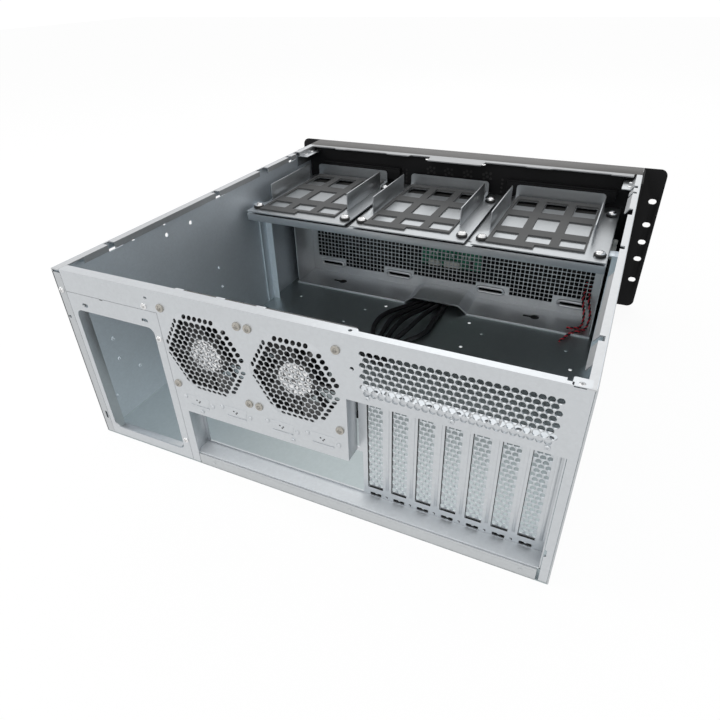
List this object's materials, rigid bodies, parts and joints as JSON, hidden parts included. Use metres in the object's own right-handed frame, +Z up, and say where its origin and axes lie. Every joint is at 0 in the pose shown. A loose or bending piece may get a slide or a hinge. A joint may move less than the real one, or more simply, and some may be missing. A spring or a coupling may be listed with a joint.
{
  "type": "rackmount server case",
  "caption": "Open-topped sheet-steel rackmount server case with rear fans, vented slot covers, three drive trays, meshed fan guard and rack ears.",
  "frame": {"origin": "middle of the case at its underside", "axes": "+Z up, front towards -Y, rear towards +Y, +X the power-supply side"},
  "size_m": [0.4826, 0.4732, 0.177],
  "materials": {
    "black_paint": "fine matte",
    "board_green": "lacquered board",
    "bright_screw": "bright",
    "bronze_paint": "satin",
    "button_grey": "smooth",
    "fan_plastic": "moulded",
    "galvanised": "satin zinc sheet",
    "lead_black": "matte",
    "lead_red": "red and black wire",
    "nickel_screw": "dull nickel",
    "pad_grey": "matte",
    "plug_white": "smooth",
    "rubber": "matte",
    "side_zinc": "satin zinc sheet"
  },
  "bodies": {
    "case": {"bezel": "bronze_paint", "board_spacers": "bright_screw", "button_switches": "fan_plastic", "chassis_tray": "side_zinc", "drive_tray_1": "galvanised", "drive_tray_2": "galvanised", "drive_tray_3": "galvanised", "fan_frame_far": "fan_plastic", "fan_frame_near": "fan_plastic", "fan_guard": "galvanised", "fan_screws": "nickel_screw", "floor_lead_1": "lead_black", "floor_lead_2": "lead_black", "floor_lead_3": "lead_black", "floor_lead_4": "lead_black", "floor_lead_5": "lead_black", "front_panel": "black_paint", "front_rail": "galvanised", "gusset_far": "side_zinc", "gusset_near": "side_zinc", "lead_plugs": "fan_plastic", "psu_bracket": "galvanised", "rack_ear_far": "black_paint", "rack_ear_near": "black_paint", "rear_panel": "galvanised", "side_boot": "lead_black", "side_lead": "lead_black", "side_plug": "plug_white", "side_post_far": "side_zinc", "side_post_near": "side_zinc", "slot_cover_1": "galvanised", "slot_cover_2": "galvanised", "slot_cover_3": "galvanised", "slot_cover_4": "galvanised", "slot_cover_5": "galvanised", "slot_cover_6": "galvanised", "slot_cover_7": "galvanised", "slot_plate": "galvanised", "switch_board": "board_green", "tray_grommets": "rubber", "tray_pad_1": "pad_grey", "tray_pad_2": "pad_grey", "tray_pad_3": "pad_grey", "tray_screws": "bright_screw", "tray_shelf": "galvanised", "wire_pair_1": "lead_red", "wire_pair_2": "lead_red"},
    "fan_near_rotor": {"fan_rotor_near": "fan_plastic"},
    "fan_far_rotor": {"fan_rotor_far": "fan_plastic"},
    "power_button": {"power_button": "button_grey"},
    "reset_button": {"reset_button": "button_grey"}
  },
  "joints": [
    {"name": "fan_near_spin", "type": "hinge", "parent": "case", "child": "fan_near_rotor", "pos_m": [0.067, 0.223, 0.12665], "axis": [0, 1, 0], "continuous": true},
    {"name": "fan_far_spin", "type": "hinge", "parent": "case", "child": "fan_far_rotor", "pos_m": [-0.0139, 0.223, 0.12665], "axis": [0, 1, 0], "continuous": true},
    {"name": "power_press", "type": "slide", "parent": "case", "child": "power_button", "axis": [0, 1, 0], "range_m": [0, 0.0012]},
    {"name": "reset_press", "type": "slide", "parent": "case", "child": "reset_button", "axis": [0, 1, 0], "range_m": [0, 0.0012]}
  ]
}
